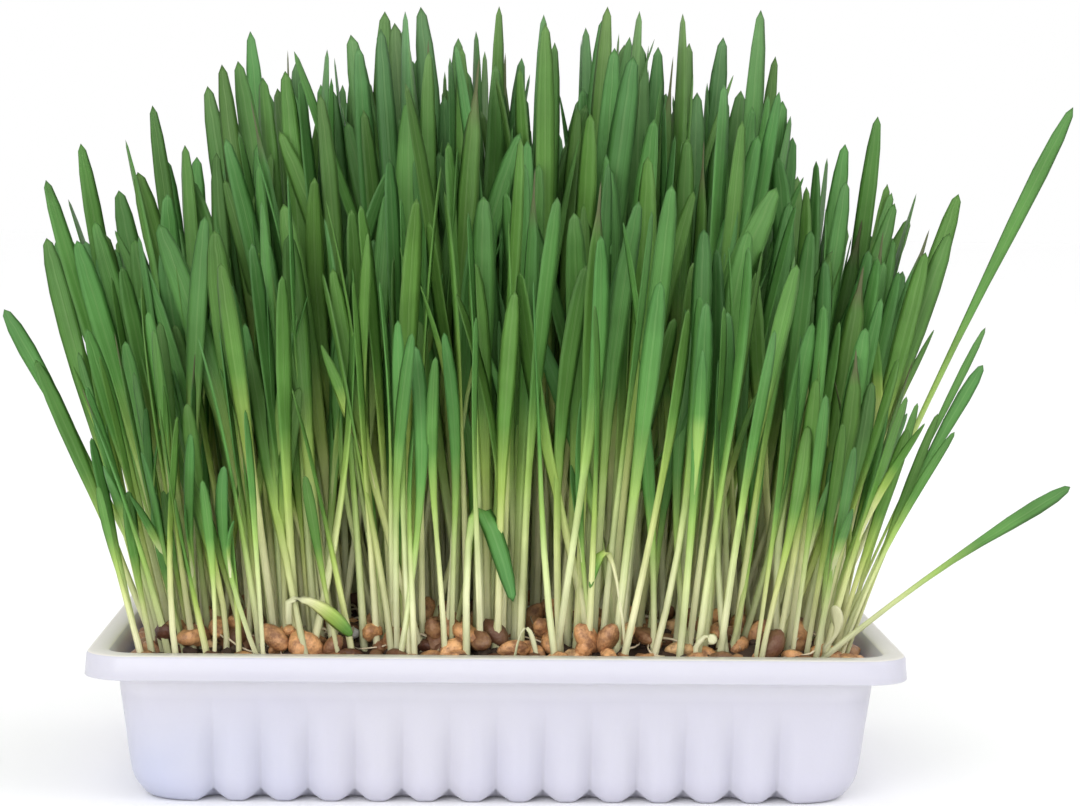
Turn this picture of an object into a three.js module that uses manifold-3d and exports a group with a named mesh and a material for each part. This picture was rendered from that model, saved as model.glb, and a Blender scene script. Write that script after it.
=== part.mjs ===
// Young wheatgrass growing in a fluted plastic tray.
//
// Millimetres, +Z up. The origin is the middle of the tray's base, on the surface it stands on.
// +X runs along the tray's long side, and -Y is its front. From the ground up there are the tray,
// the soil that fills it, a bed of sprouting grain on the soil, and tufts of shoots. Each tuft
// stands with its root ball in a plain hole through the grain bed and into the soil.

import * as THREE from "three";
import { mergeVertices } from "three/addons/utils/BufferGeometryUtils.js";
import Module from "manifold-3d";

const wasm = await Module();
wasm.setup();

// The tray: one thin formed sheet, with a rim whose edge is turned down into a skirt
const RIM_LENGTH = 187;
const RIM_WIDTH = 137;
const TRAY_HEIGHT = 35.5;
const WALL = 0.9;
const CORNER_STEPS = 4;
const FRONT_FLUTES = 12;
const END_FLUTES = 7;
const FLUTE_PITCH = 10.8;
const GROOVE_SHOULDER = 3.4;

// Inset is measured in from the rim's outer edge. A groove is cut in by groove and raised by lift.
const TRAY_OUTSIDE = [
  { inset: 0, z: TRAY_HEIGHT, corner: 10.5 },
  { inset: -0.4, z: 29.9, corner: 10.9 },
  { inset: 0.6, z: 29.9, corner: 9.9 },
  { inset: 1, z: TRAY_HEIGHT - WALL, corner: 9.5 },
  { inset: 4.2, z: TRAY_HEIGHT - WALL, corner: 7.5 },
  { inset: 6.6, z: 30.8, corner: 8 },
  { inset: 7.2, z: 25.5, corner: 8.5 },
  { inset: 9.1, z: 9, corner: 10, groove: 2.6 },
  { inset: 10.9, z: 2.8, corner: 11, groove: 2.2, lift: 1.6 },
  { inset: 14, z: 0, corner: 10.5, groove: 0, lift: 3 },
  { inset: 20, z: 0, corner: 4.5 },
];
const TRAY_INSIDE = [
  { inset: 5.1, z: TRAY_HEIGHT + 1, corner: 6.6 },
  { inset: 5.1, z: TRAY_HEIGHT, corner: 6.6 },
  { inset: 7.5, z: 30.8, corner: 7.1 },
  { inset: 8.1, z: 25.5, corner: 7.6 },
  { inset: 10, z: 9.1, corner: 9.1, groove: 2.6 },
  { inset: 14.3, z: WALL, corner: 10.1, groove: 0, lift: 3 },
  { inset: 20.3, z: WALL, corner: 4.1 },
];

// The soil clears the tray's walls and the ribs that the grooves make inside it
const SOIL_TOP = 28;
const SOIL_BODY = [
  { inset: 8.5, z: SOIL_TOP, corner: 7 },
  { inset: 8.8, z: 25, corner: 7 },
  { inset: 13.3, z: 9, corner: 7 },
  { inset: 15, z: 5.6, corner: 7 },
  { inset: 21, z: WALL + 0.3, corner: 5 },
];

// The bed of grain: a mat of roots with sprouted grains standing out of it
const BED_UNDERSIDE = SOIL_TOP + 0.3;
const BED_TOP = 30.2;
const BED_INSET = 8.2;
const BED_CORNER = 7;
const BED_MARGIN = 4.2;
const BED_GRAIN_COLUMNS = 13;
const BED_GRAIN_ROWS = 8;
const GRAIN_JITTER = 1.5;
const GRAIN_LENGTH = 7;
const GRAIN_RADIUS = 1.75;
const GRAIN_SIDES = 5;
const GRAIN_TILT = 0.25;
const GRAIN_RISE = 0.4;
const GRAIN_OVERHANG = 1;

// Tufts stand in rows along the tray, seven and six by turns, each on a six-sided root ball
const ROW_TUFTS = [7, 6, 7, 6];
const ROW_SPAN = 143;
const ROW_PITCH = 30.5;
const TUFT_JITTER = 0.8;
const BALL_TOP = 30;
const BALL_FOOT = 14;
const BALL_TOP_RADIUS = 10.2;
const BALL_FOOT_RADIUS = 7.5;
const BALL_SIDES = 6;
const HOLE_GAP = 0.35;
const TUFT_GRAIN_RADIUS = 4.5;

// Shoots: a round pale stem that opens into a flat blade
const SHOOTS_PER_TUFT = 12;
const SHOOT_SPACING = 2.2;
const GOLDEN_ANGLE = Math.PI * (3 - Math.sqrt(5));
const TALLEST = 146;
const SHORTEST = 60;
const END_DROP = 42;
const END_X = 55;
const END_STEEPNESS = 8;
const FRONT_DROP = 68;
const FRONT_Y = 60;
const HEIGHT_SCATTER = 13;
const ROOT_DEPTH = 5;
const ROOT_GATHER = 4;

// The canopy is wider than the bed, and each tuft keeps to its own straight-sided share of it
const FULL_HEIGHT = 136;
const SPLAY = 0.27;
const END_LEAN = 12;
const FRONT_LEAN = 20;
const TIP_SCATTER = 0.4;
const LEAN_CURVE = 1.4;
const LEAN_TRIES = 12;
const ROOM_SHARES = [0.45, 0.7, 0.95];
const CELL_GAP = 0.6;
const TWIST = 0.6;

// Widths and thicknesses at shares of a shoot's length, up to where the tip begins to close
const STEM_WIDTH = 2.1;
const BLADE_WIDTH = 4.8;
const WIDTH_SCATTER = 0.7;
const FOOT_THICKNESS = 1.6;
const TANGENT_STEP = 0.05;
const SHOOT_KNOTS = [
  { share: 0.3, width: 0.5, thickness: 1.5 },
  { share: 0.56, width: 1, thickness: 0.9 },
  { share: 0.87, width: 0.8, thickness: 0.8 },
];

// Long shoots that bend out past the tray's ends: the end and row of their tuft, the root from
// the tuft's middle, the tip, and the rise of the middle above a straight line, as a share
const STRAY_FACING = 0.2;
const STRAYS = [
  { end: 1, row: 1, root: [6, -2], tip: [137, -20, 162], rise: 0.02 },
  { end: 1, row: 0, root: [0, -5], tip: [131.5, -54, 74], rise: 0.03 },
  { end: 1, row: 0, root: [5, 3], tip: [113.2, -42, 110], rise: 0.02 },
  { end: 1, row: 0, root: [6, 0], tip: [113.5, -38, 101], rise: 0.05 },
  { end: -1, row: 1, root: [-5, -2], tip: [-118, -18, 111], rise: 0.02 },
  { end: -1, row: 2, root: [-6, -2], tip: [-110, 14, 126.5], rise: 0.03 },
];

const UP = new THREE.Vector3(0, 0, 1);

// A repeatable random number from 0 to 1
let seed = 20260;
function random() {
  seed = (seed * 1664525 + 1013904223) % 4294967296;
  return seed / 4294967296;
}

function scatter(range) {
  return (random() - 0.5) * 2 * range;
}

// A closed skin over rings of points. Rings run anticlockwise as seen from the first, and a
// ring of one point closes an end.
function skin(rings) {
  const positions = [];
  const triangle = (...corners) => {
    for (const corner of corners) positions.push(corner.x, corner.y, corner.z);
  };
  for (let row = 0; row + 1 < rings.length; row++) {
    const near = rings[row];
    const far = rings[row + 1];
    const count = Math.max(near.length, far.length);
    for (let i = 0; i < count; i++) {
      const j = (i + 1) % count;
      if (near.length === 1) triangle(near[0], far[i], far[j]);
      else if (far.length === 1) triangle(near[i], far[0], near[j]);
      else {
        triangle(near[i], far[i], far[j]);
        triangle(near[i], far[j], near[j]);
      }
    }
  }
  const geometry = new THREE.BufferGeometry();
  geometry.setAttribute("position", new THREE.Float32BufferAttribute(positions, 3));
  return geometry;
}

function solidOf(geometry) {
  const merged = mergeVertices(geometry, 1e-4);
  return new wasm.Manifold(
    new wasm.Mesh({
      numProp: 3,
      vertProperties: merged.attributes.position.array,
      triVerts: new Uint32Array(merged.index.array),
    }),
  );
}

function joined(solids) {
  return solids.reduce((whole, solid) => whole.add(solid));
}

function meshOf(solid, name, material) {
  const { vertProperties, triVerts } = solid.getMesh();
  const geometry = new THREE.BufferGeometry();
  geometry.setAttribute("position", new THREE.BufferAttribute(new Float32Array(vertProperties), 3));
  geometry.setIndex(new THREE.BufferAttribute(new Uint32Array(triVerts), 1));
  const mesh = new THREE.Mesh(geometry, material);
  mesh.name = name;
  return mesh;
}

// The stations round a rounded rectangle, anticlockwise from the front left. Each side holds its
// flutes' grooves, if it has any, and then the corner that follows it.
function stations(frontFlutes = 0, endFlutes = 0) {
  const sides = [
    { along: [1, 0], out: [0, -1], flutes: frontFlutes },
    { along: [0, 1], out: [1, 0], flutes: endFlutes },
    { along: [-1, 0], out: [0, 1], flutes: frontFlutes },
    { along: [0, -1], out: [-1, 0], flutes: endFlutes },
  ];
  const found = [];
  for (const { along, out, flutes } of sides) {
    for (let i = 0; flutes > 0 && i <= flutes; i++) {
      const middle = (i - flutes / 2) * FLUTE_PITCH;
      found.push({ along, out, at: middle - GROOVE_SHOULDER, depth: 0 });
      found.push({ along, out, at: middle, depth: 1 });
      found.push({ along, out, at: middle + GROOVE_SHOULDER, depth: 0 });
    }
    for (let i = 0; i <= CORNER_STEPS; i++)
      found.push({ along, out, turn: ((i / CORNER_STEPS) * Math.PI) / 2, depth: 0 });
  }
  return found;
}

// A level ring round the tray. On each side, u runs along it and v out from the middle.
function ring({ inset, z, corner, groove = 0, lift = 0 }, outline) {
  const halfLength = RIM_LENGTH / 2 - inset;
  const halfWidth = RIM_WIDTH / 2 - inset;
  return outline.map(({ along, out, at, turn, depth }) => {
    const [end, side] = out[0] ? [halfWidth, halfLength] : [halfLength, halfWidth];
    const isCorner = turn !== undefined;
    const u = isCorner ? end - corner * (1 - Math.sin(turn)) : at;
    const v = isCorner ? side - corner * (1 - Math.cos(turn)) : side - depth * groove;
    const [x, y] = [along[0] * u + out[0] * v, along[1] * u + out[1] * v];
    return new THREE.Vector3(x, y, z + depth * lift);
  });
}

// A solid whose level rings are stacked from the top down, with flat ends
function stacked(rows, outline) {
  const top = new THREE.Vector3(0, 0, rows[0].z);
  const foot = new THREE.Vector3(0, 0, rows.at(-1).z);
  return solidOf(skin([[top], ...rows.map((row) => ring(row, outline)), [foot]]));
}

// The corners of a regular polygon square to axis
function polygon(centre, axis, radius, sides) {
  const flat = Math.abs(axis.z) > 0.9 ? new THREE.Vector3(1, 0, 0) : new THREE.Vector3(0, 0, 1);
  const u = flat.cross(axis).normalize();
  const v = axis.clone().normalize().cross(u);
  return Array.from({ length: sides }, (_, i) => {
    const angle = (2 * Math.PI * i) / sides;
    return centre
      .clone()
      .addScaledVector(u, radius * Math.cos(angle))
      .addScaledVector(v, radius * Math.sin(angle));
  });
}

// One grain: a spindle with its long axis near level
function grain(x, y, z, heading) {
  const axis = new THREE.Vector3(Math.cos(heading), Math.sin(heading), GRAIN_TILT).normalize();
  const centre = new THREE.Vector3(x, y, z);
  const tip = centre.clone().addScaledVector(axis, GRAIN_LENGTH / 2);
  const tail = centre.clone().addScaledVector(axis, -GRAIN_LENGTH / 2);
  return solidOf(skin([[tip], polygon(centre, axis, GRAIN_RADIUS, GRAIN_SIDES), [tail]]));
}

// A root ball, which narrows downwards
function rootBall({ x, y }) {
  const top = new THREE.Vector3(x, y, BALL_TOP);
  const foot = new THREE.Vector3(x, y, BALL_FOOT);
  const shoulder = polygon(top, UP, BALL_TOP_RADIUS, BALL_SIDES);
  return solidOf(skin([[top], shoulder, polygon(foot, UP, BALL_FOOT_RADIUS, BALL_SIDES), [foot]]));
}

// The hole that a root ball stands in, open well above the grain bed
function rootHole({ x, y }) {
  const mouth = new THREE.Vector3(x, y, BALL_TOP + GRAIN_LENGTH);
  const shoulder = new THREE.Vector3(x, y, BALL_TOP);
  const foot = new THREE.Vector3(x, y, BALL_FOOT - HOLE_GAP);
  return solidOf(
    skin([
      [mouth],
      polygon(mouth, UP, BALL_TOP_RADIUS + HOLE_GAP, BALL_SIDES),
      polygon(shoulder, UP, BALL_TOP_RADIUS + HOLE_GAP, BALL_SIDES),
      polygon(foot, UP, BALL_FOOT_RADIUS + HOLE_GAP, BALL_SIDES),
      [foot],
    ]),
  );
}

function tuftPlaces() {
  return ROW_TUFTS.flatMap((count, row) =>
    Array.from({ length: count }, (_, column) => ({
      column,
      row,
      pitch: ROW_SPAN / (count - 1),
      end: (column === count - 1) - (column === 0),
      side: (row === ROW_TUFTS.length - 1) - (row === 0),
      x: (column / (count - 1) - 0.5) * ROW_SPAN + scatter(TUFT_JITTER),
      y: (row - (ROW_TUFTS.length - 1) / 2) * ROW_PITCH + scatter(TUFT_JITTER),
    })),
  );
}

// Shoots are tall in the middle of the tray. They step down to its ends, and slope to its sides.
function canopy(x, y) {
  const step = (x / END_X) ** END_STEEPNESS;
  const drop = (END_DROP * step) / (1 + step) + FRONT_DROP * (y / FRONT_Y) ** 2;
  return Math.max(SHORTEST, TALLEST - drop);
}

// How much wider than the bed the canopy is at a height above it
function spread(height) {
  return 1 + SPLAY * (height / FULL_HEIGHT);
}

// The range that a shoot may reach across its tuft's share of the canopy at a height. Tufts at
// the tray's sides may lean out past them, by outerLean at full height.
function reach(pitch, outerLean, height, bladeWidth) {
  const half = (pitch / 2 - TUFT_JITTER) * spread(height) - bladeWidth / 2 - CELL_GAP;
  const lean = outerLean * (height / FULL_HEIGHT);
  return { middle: lean / 2, half: half + Math.abs(lean) / 2 };
}

// A shoot's place on one axis: its root, and a tip drawn near it in the tuft's share
function sway(root, pitch, outerLean, length, bladeWidth) {
  const low = reach(pitch, outerLean, 0, bladeWidth);
  const high = reach(pitch, outerLean, length, bladeWidth);
  const share = THREE.MathUtils.clamp(root / low.half + scatter(TIP_SCATTER), -1, 1);
  return { root, tip: high.middle + share * high.half };
}

// The least room between two shoots of a tuft, at a few shares of their length
function roomBetween(tuft, one, other) {
  return Math.min(
    ...ROOM_SHARES.map((share) => {
      const height = share * one.length;
      const here = shootPoint(tuft, one, share);
      return here.distanceTo(shootPoint(tuft, other, Math.min(1, height / other.length)));
    }),
  );
}

// One upright shoot of a tuft. Of a few random leans it takes the one that leaves the most room
// to the shoots already there.
function growShoot(tuft, index, earlier) {
  const angle = index * GOLDEN_ANGLE + tuft.column + tuft.row * 2;
  const radius = SHOOT_SPACING * Math.sqrt(index + 0.5);
  const rootX = radius * Math.cos(angle);
  const rootY = radius * Math.sin(angle);
  const length = canopy(tuft.x + rootX, tuft.y + rootY) + scatter(HEIGHT_SCATTER);
  const bladeWidth = BLADE_WIDTH + scatter(WIDTH_SCATTER);
  let best = null;
  for (let i = 0; i < LEAN_TRIES; i++) {
    const across = sway(rootX, tuft.pitch, tuft.end * END_LEAN, length, bladeWidth);
    const along = sway(rootY, ROW_PITCH, tuft.side * FRONT_LEAN, length, bladeWidth);
    const tried = { across, along, length };
    const room = Math.min(...earlier.map((other) => roomBetween(tuft, tried, other)));
    if (!best || room > best.room) best = { ...tried, room };
  }
  const facing = random() * Math.PI;
  const twist = scatter(TWIST);
  return { ...best, bladeWidth, facing, twist };
}

// A shoot's centre at a share of its length. Below zero it is in the root ball, drawn inwards.
function shootPoint(tuft, { across, along, length }, share) {
  const height = share * length;
  const bent = Math.max(0, share) ** LEAN_CURVE;
  const rooted = Math.min(1, 1 + share * ROOT_GATHER);
  const x = across.root * rooted * (1 - bent) + across.tip * bent;
  const y = along.root * rooted * (1 - bent) + along.tip * bent;
  const wider = spread(Math.max(0, height));
  return new THREE.Vector3(tuft.x * wider + x, tuft.y * wider + y, BED_TOP + height);
}

// A blade's solid from its centre line: three-sided, flat in front with a rib behind
function bladeSolid(centre, bladeWidth, length, facing, twist) {
  const foot = -ROOT_DEPTH / length;
  const root = { share: foot, width: STEM_WIDTH / bladeWidth, thickness: FOOT_THICKNESS };
  const knots = [root, ...SHOOT_KNOTS];
  const rings = knots.map(({ share, width, thickness }) => {
    const up = centre(share + TANGENT_STEP).sub(centre(share - TANGENT_STEP)).normalize();
    const turn = facing + twist * share;
    const side = new THREE.Vector3(Math.cos(turn), Math.sin(turn), 0);
    side.addScaledVector(up, -side.dot(up)).normalize();
    const back = up.clone().cross(side);
    const half = (width * bladeWidth) / 2;
    return [
      centre(share).addScaledVector(side, half),
      centre(share).addScaledVector(back, thickness),
      centre(share).addScaledVector(side, -half),
    ];
  });
  return solidOf(skin([[centre(1)], ...rings.reverse(), [centre(foot)]]));
}

// One long shoot that bends out past the end of the tray
function straySolid(tuft, { root, tip, rise }) {
  const start = new THREE.Vector3(tuft.x + root[0], tuft.y + root[1], BED_TOP);
  const end = new THREE.Vector3(...tip);
  const length = start.distanceTo(end);
  const middle = start.clone().lerp(end, 0.5);
  middle.z += 2 * rise * length;
  const curve = new THREE.QuadraticBezierCurve3(start, middle, end);
  const centre = (share) => {
    if (share >= 0) return curve.getPoint(share);
    return new THREE.Vector3(start.x, start.y, BED_TOP + share * length);
  };
  return bladeSolid(centre, BLADE_WIDTH, length, STRAY_FACING, 0);
}

// A tuft: its root ball, the husk of one grain on it, its shoots, and any stray
function tuftSolid(tuft) {
  const shoots = [];
  for (let i = 0; i < SHOOTS_PER_TUFT; i++) shoots.push(growShoot(tuft, i, shoots));
  const blades = shoots.map((shoot) => {
    const centre = (share) => shootPoint(tuft, shoot, share);
    return bladeSolid(centre, shoot.bladeWidth, shoot.length, shoot.facing, shoot.twist);
  });
  const strays = STRAYS.filter(({ end, row }) => end === tuft.end && row === tuft.row);
  const x = tuft.x + TUFT_GRAIN_RADIUS * Math.cos(tuft.column);
  const y = tuft.y + TUFT_GRAIN_RADIUS * Math.sin(tuft.column);
  const husk = grain(x, y, BED_TOP + GRAIN_RISE, tuft.column + 1);
  return joined([rootBall(tuft), husk, ...blades, ...strays.map((s) => straySolid(tuft, s))]);
}

// The bed: a flat mat, with a grain at each place of a loose grid that is clear of every tuft
function bedSolid(tufts) {
  const edge = { inset: BED_INSET, corner: BED_CORNER };
  const plate = stacked(
    [
      { ...edge, z: BED_TOP },
      { ...edge, z: BED_UNDERSIDE },
    ],
    stations(),
  );
  const halfLength = RIM_LENGTH / 2 - BED_INSET - BED_MARGIN;
  const halfWidth = RIM_WIDTH / 2 - BED_INSET - BED_MARGIN;
  const clearance = BALL_TOP_RADIUS + GRAIN_LENGTH / 2 - GRAIN_OVERHANG;
  const spaced = (i, count) => (2 * i) / (count - 1) - 1;
  const grains = [];
  for (let row = 0; row < BED_GRAIN_ROWS; row++)
    for (let column = 0; column < BED_GRAIN_COLUMNS; column++) {
      const gridX = spaced(column, BED_GRAIN_COLUMNS) * halfLength + scatter(GRAIN_JITTER);
      const gridY = spaced(row, BED_GRAIN_ROWS) * halfWidth + scatter(GRAIN_JITTER);
      const heading = random() * Math.PI;
      const x = THREE.MathUtils.clamp(gridX, -halfLength, halfLength);
      const y = THREE.MathUtils.clamp(gridY, -halfWidth, halfWidth);
      const isClear = tufts.every((tuft) => Math.hypot(tuft.x - x, tuft.y - y) > clearance);
      if (isClear) grains.push(grain(x, y, BED_TOP + GRAIN_RISE, heading));
    }
  return joined([plate, ...grains]);
}

// A tray surface's body: plain above the flutes, and fluted below
function trayBody(rows) {
  const lastPlain = rows.findIndex(({ groove }) => groove > 0) - 1;
  const upper = stacked(rows.slice(0, lastPlain + 1), stations());
  const lower = stacked(rows.slice(lastPlain), stations(FRONT_FLUTES, END_FLUTES));
  return upper.add(lower);
}

const trayPlastic = new THREE.MeshStandardMaterial({ color: 0xe9e8f4, roughness: 0.35 });
const darkSoil = new THREE.MeshStandardMaterial({ color: 0x33241a, roughness: 0.95 });
const huskBrown = new THREE.MeshStandardMaterial({ color: 0xb07a45, roughness: 0.7 });
const grassGreen = new THREE.MeshStandardMaterial({ color: 0x4f8f3e, roughness: 0.5 });

const wheatgrass = new THREE.Group();

const tray = trayBody(TRAY_OUTSIDE).subtract(trayBody(TRAY_INSIDE));
wheatgrass.add(meshOf(tray, "tray", trayPlastic));

const tufts = tuftPlaces();
const holes = joined(tufts.map(rootHole));
const soil = stacked(SOIL_BODY, stations()).subtract(holes);
wheatgrass.add(meshOf(soil, "soil", darkSoil));

for (const tuft of tufts) {
  const name = `tuft_${tuft.row + 1}_${tuft.column + 1}`;
  wheatgrass.add(meshOf(tuftSolid(tuft), name, grassGreen));
}

wheatgrass.add(meshOf(bedSolid(tufts).subtract(holes), "grain_bed", huskBrown));

export default wheatgrass;
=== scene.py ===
"""Young wheatgrass in a fluted plastic tray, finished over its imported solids.

Shapes are modelled in millimetres, with +Z up and the origin in the middle of the tray's base,
and are scaled to metres as each piece is finished.
"""

import math

import bmesh
import bpy
from mathutils import Euler, Matrix, Vector, noise


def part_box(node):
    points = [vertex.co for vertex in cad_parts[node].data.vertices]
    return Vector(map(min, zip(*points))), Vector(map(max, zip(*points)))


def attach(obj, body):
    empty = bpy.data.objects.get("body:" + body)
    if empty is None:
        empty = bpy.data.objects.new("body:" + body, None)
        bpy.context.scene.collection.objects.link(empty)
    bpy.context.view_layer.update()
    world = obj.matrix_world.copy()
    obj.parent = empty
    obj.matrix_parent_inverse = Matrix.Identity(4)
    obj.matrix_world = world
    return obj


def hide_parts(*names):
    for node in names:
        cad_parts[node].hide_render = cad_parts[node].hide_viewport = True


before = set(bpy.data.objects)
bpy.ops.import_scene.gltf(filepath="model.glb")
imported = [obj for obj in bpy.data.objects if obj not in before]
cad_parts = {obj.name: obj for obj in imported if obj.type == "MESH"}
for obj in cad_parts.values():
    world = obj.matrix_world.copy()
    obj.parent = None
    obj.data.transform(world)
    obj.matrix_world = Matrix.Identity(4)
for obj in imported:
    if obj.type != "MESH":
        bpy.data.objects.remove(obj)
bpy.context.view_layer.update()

bl_info = {
    "name": "Wheatgrass tray",
    "version": (1, 0, 0),
    "blender": (4, 5, 0),
    "location": "View3D > Sidebar > Wheatgrass",
    "description": "Young wheatgrass that grows from sprouted grain in a fluted plastic tray",
    "category": "Add Mesh",
}

MM = 0.001
TRAY_LOW, TRAY_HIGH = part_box("tray")

# The tray's outline. Its box takes in the skirt, which flares a little wider than the rim.
SKIRT_FLARE = 0.4
SKIRT_FOOT = 29.8
RIM_LENGTH = (TRAY_HIGH[0] - TRAY_LOW[0]) / MM - 2 * SKIRT_FLARE
RIM_WIDTH = (TRAY_HIGH[1] - TRAY_LOW[1]) / MM - 2 * SKIRT_FLARE
TRAY_HEIGHT = TRAY_HIGH[2] / MM
FRONT_FLUTES = 12
END_FLUTES = 7
FLUTE_PITCH = 10.8
GROOVE_REACH = 4.2
GROOVE_SHARPNESS = 1.5
CORNER_STEPS = 9

# Offsets from a groove's middle at which its curve is followed
GROOVE_STEPS = (-4.2, -3.2, -2.2, -1.3, -0.55, 0, 0.55, 1.3, 2.2, 3.2, 4.2)

# The sheet's section from the middle of the floor, up inside, over the rim, and down outside:
# inset from the rim's edge, height, corner radius, depth of the grooves and their lift
TRAY_SECTION = (
    (20.3, 0.9, 4.1, 0, 0),
    (14.3, 0.9, 10.1, 0, 3),
    (12.6, 2.4, 9.8, 1.2, 2.1),
    (11.1, 5.4, 9.4, 2.4, 0.9),
    (10, 9.1, 9.1, 2.6, 0),
    (9.55, 13, 8.7, 2.1, 0),
    (9.1, 17, 8.3, 1.2, 0),
    (8.6, 21, 8, 0.4, 0),
    (8.1, 25.5, 7.6, 0, 0),
    (7.5, 30.8, 7.1, 0, 0),
    (6, 33.8, 6.8, 0, 0),
    (5.25, 35.1, 6.65, 0, 0),
    (4.7, 35.5, 6.9, 0, 0),
    (0.9, 35.5, 9.8, 0, 0),
    (0.3, 35.35, 10.3, 0, 0),
    (0, 34.8, 10.5, 0, 0),
    (-0.2, 32.4, 10.7, 0, 0),
    (-0.4, 30.1, 10.9, 0, 0),
    (-0.25, 29.9, 10.75, 0, 0),
    (0.35, 29.9, 10.15, 0, 0),
    (0.6, 30.2, 9.9, 0, 0),
    (0.8, 32.6, 9.7, 0, 0),
    (1.1, 34.3, 9.4, 0, 0),
    (1.6, 34.6, 9, 0, 0),
    (3.8, 34.6, 7.8, 0, 0),
    (4.5, 34.2, 7.6, 0, 0),
    (5.6, 32.4, 7.8, 0, 0),
    (6.6, 30.8, 8, 0, 0),
    (6.95, 28.2, 8.25, 0, 0),
    (7.2, 25.5, 8.5, 0, 0),
    (7.5, 23, 8.7, 0.15, 0),
    (7.85, 20, 9, 0.6, 0),
    (8.2, 17, 9.3, 1.25, 0),
    (8.6, 13, 9.65, 2.1, 0),
    (9.1, 9, 10, 2.6, 0),
    (9.5, 6.3, 10.3, 2.6, 0.3),
    (10.1, 4.3, 10.7, 2.5, 0.8),
    (10.9, 2.8, 11, 2.2, 1.6),
    (12.1, 1.1, 10.9, 1.4, 2.4),
    (13.1, 0.3, 10.7, 0.7, 2.8),
    (14.2, 0, 10.4, 0.1, 3),
    (17, 0, 7.5, 0, 1.5),
    (20, 0, 4.5, 0, 0),
)

# The bed: a lumpy mat of roots and soil with grains on it
BED_TOP = 30.2
BED_UNDERSIDE = 28.3
BED_HALF_LENGTH = 85
BED_HALF_WIDTH = 60
BED_CELLS = (96, 68)
BED_RELIEF = 1.3
BED_MOUND = 5.5
BED_EDGE = 6
BED_LUMP = 7
BED_FINE_LUMP = 2.4
BED_CORNER = 7

# What lies on the bed. A pair gives the least and the most.
BED_SEED = 731
GRAIN_ROOM = 2.5
GRAIN_JITTER = 3
GRAIN_LIFT = 0.9
GRAIN_TILT = 0.4
GRAIN_SCALES = (0.85, 1.12)
GRAIN_SIZE = (3.5, 2.2, 2.05)
GRAIN_COLUMNS = 22
GRAIN_ROWS = 16
PILED_GRAINS = 180
PILE_LIFTS = (1.8, 5.8)
PILE_TILT = 1.1
PILE_SCALE = 1.16
PILE_TO_FRONT = 1.5
EDGE_GRAINS = 110
EDGE_LIFTS = (0.8, 2)
EDGE_TILT = 0.3
TUFT_GRAIN_RADIUS = 4.5
CRUMBS = 900
CRUMB_ROOM = 1.5
CRUMB_SIZE = 2.3
ROOTLETS = 220
ROOTLET_SIDES = 4
ROOTLET_RINGS = 9
ROOTLET_LENGTHS = (6, 15)
ROOTLET_RISES = (1, 3.2)
ROOTLET_RADII = (0.25, 0.5)
ROOTLET_CURL = 2.2
PERLITE_BITS = 16
PERLITE_SIZES = (0.8, 1.8)

# The tufts stand as in the part's source, by the same rule and the same random draws
SOURCE_SEED = 20260
ROW_TUFTS = (7, 6, 7, 6)
ROW_SPAN = 143
ROW_PITCH = 30.5
TUFT_JITTER = 0.8
BALL_TOP = 30
BALL_FOOT = 14
BALL_TOP_RADIUS = 9.9
BALL_FOOT_RADIUS = 7.2
BALL_LUMP = 0.12
BALL_SIDES = 14
BALL_RINGS = 6

# The shoots' places in a tuft, and the canopy's height over the tray
SHOOTS_PER_TUFT = 12
SHOOT_SPACING = 2.2
GOLDEN_ANGLE = math.pi * (3 - math.sqrt(5))
TALLEST = 146
SHORTEST = 60
END_DROP = 42
END_X = 55
END_STEEPNESS = 8
FRONT_DROP = 68
FRONT_Y = 60
HEIGHT_SCATTER = 13

# How the shoots gather at the root and lean outwards, and the room that each keeps from others
ROOT_DEPTH = 5
ROOT_GATHER = 4
FULL_HEIGHT = 136
SPLAY = 0.27
END_LEAN = 12
FRONT_LEAN = 20
TIP_SCATTER = 0.4
LEAN_CURVE = 1.4
LEAN_TRIES = 12
ROOM_SHARES = (0.45, 0.7, 0.95)
CELL_GAP = 0.6

# The blades
TWIST = 0.6
BLADE_WIDTH = 4.8
WIDTH_SCATTER = 0.7
TANGENT_STEP = 0.05
STRAY_FACING = 0.2

# Long shoots past the tray's ends: end and row of their tuft, root from its middle, tip, rise
# and slimness of the blade
STRAYS = (
    (1, 1, (6, -2), (137, -20, 162), 0.02, 0.9),
    (1, 0, (0, -5), (131.5, -54, 74), 0.03, 0.92),
    (1, 0, (5, 3), (113.2, -42, 110), 0.02, 0.45),
    (1, 0, (6, 0), (113.5, -38, 101), 0.05, 0.76),
    (-1, 1, (-5, -2), (-118, -18, 111), 0.02, 0.92),
    (-1, 2, (-6, -2), (-110, 14, 126.5), 0.03, 0.92),
)

# A shoot's section at shares of its length: half width as a share of the blade's, half
# thickness, and how far the middle is folded back, as a share of the half width
SHOOT_SECTIONS = (
    (0, 0.42, 0.92, 0),
    (0.16, 0.38, 0.84, 0),
    (0.32, 0.38, 0.7, 0.04),
    (0.44, 0.48, 0.52, 0.18),
    (0.55, 0.66, 0.38, 0.3),
    (0.66, 0.88, 0.29, 0.34),
    (0.77, 1, 0.25, 0.32),
    (0.87, 0.96, 0.22, 0.26),
    (0.94, 0.77, 0.2, 0.2),
    (0.985, 0.46, 0.16, 0.1),
)

# The same for a blade that ends in a thin dry thread, and for a second leaf
DRY_SECTIONS = SHOOT_SECTIONS[:7] + (
    (0.87, 0.74, 0.22, 0.26),
    (0.94, 0.17, 0.16, 0.1),
    (0.985, 0.09, 0.12, 0),
)
LEAF_SECTIONS = (
    (0, 0.3, 0.6, 0),
    (0.16, 0.5, 0.45, 0.15),
    (0.32, 0.8, 0.32, 0.3),
    (0.55, 1, 0.26, 0.34),
    (0.77, 0.86, 0.24, 0.3),
    (0.87, 0.66, 0.22, 0.25),
    (0.94, 0.42, 0.18, 0.2),
    (0.985, 0.2, 0.14, 0.1),
)

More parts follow.
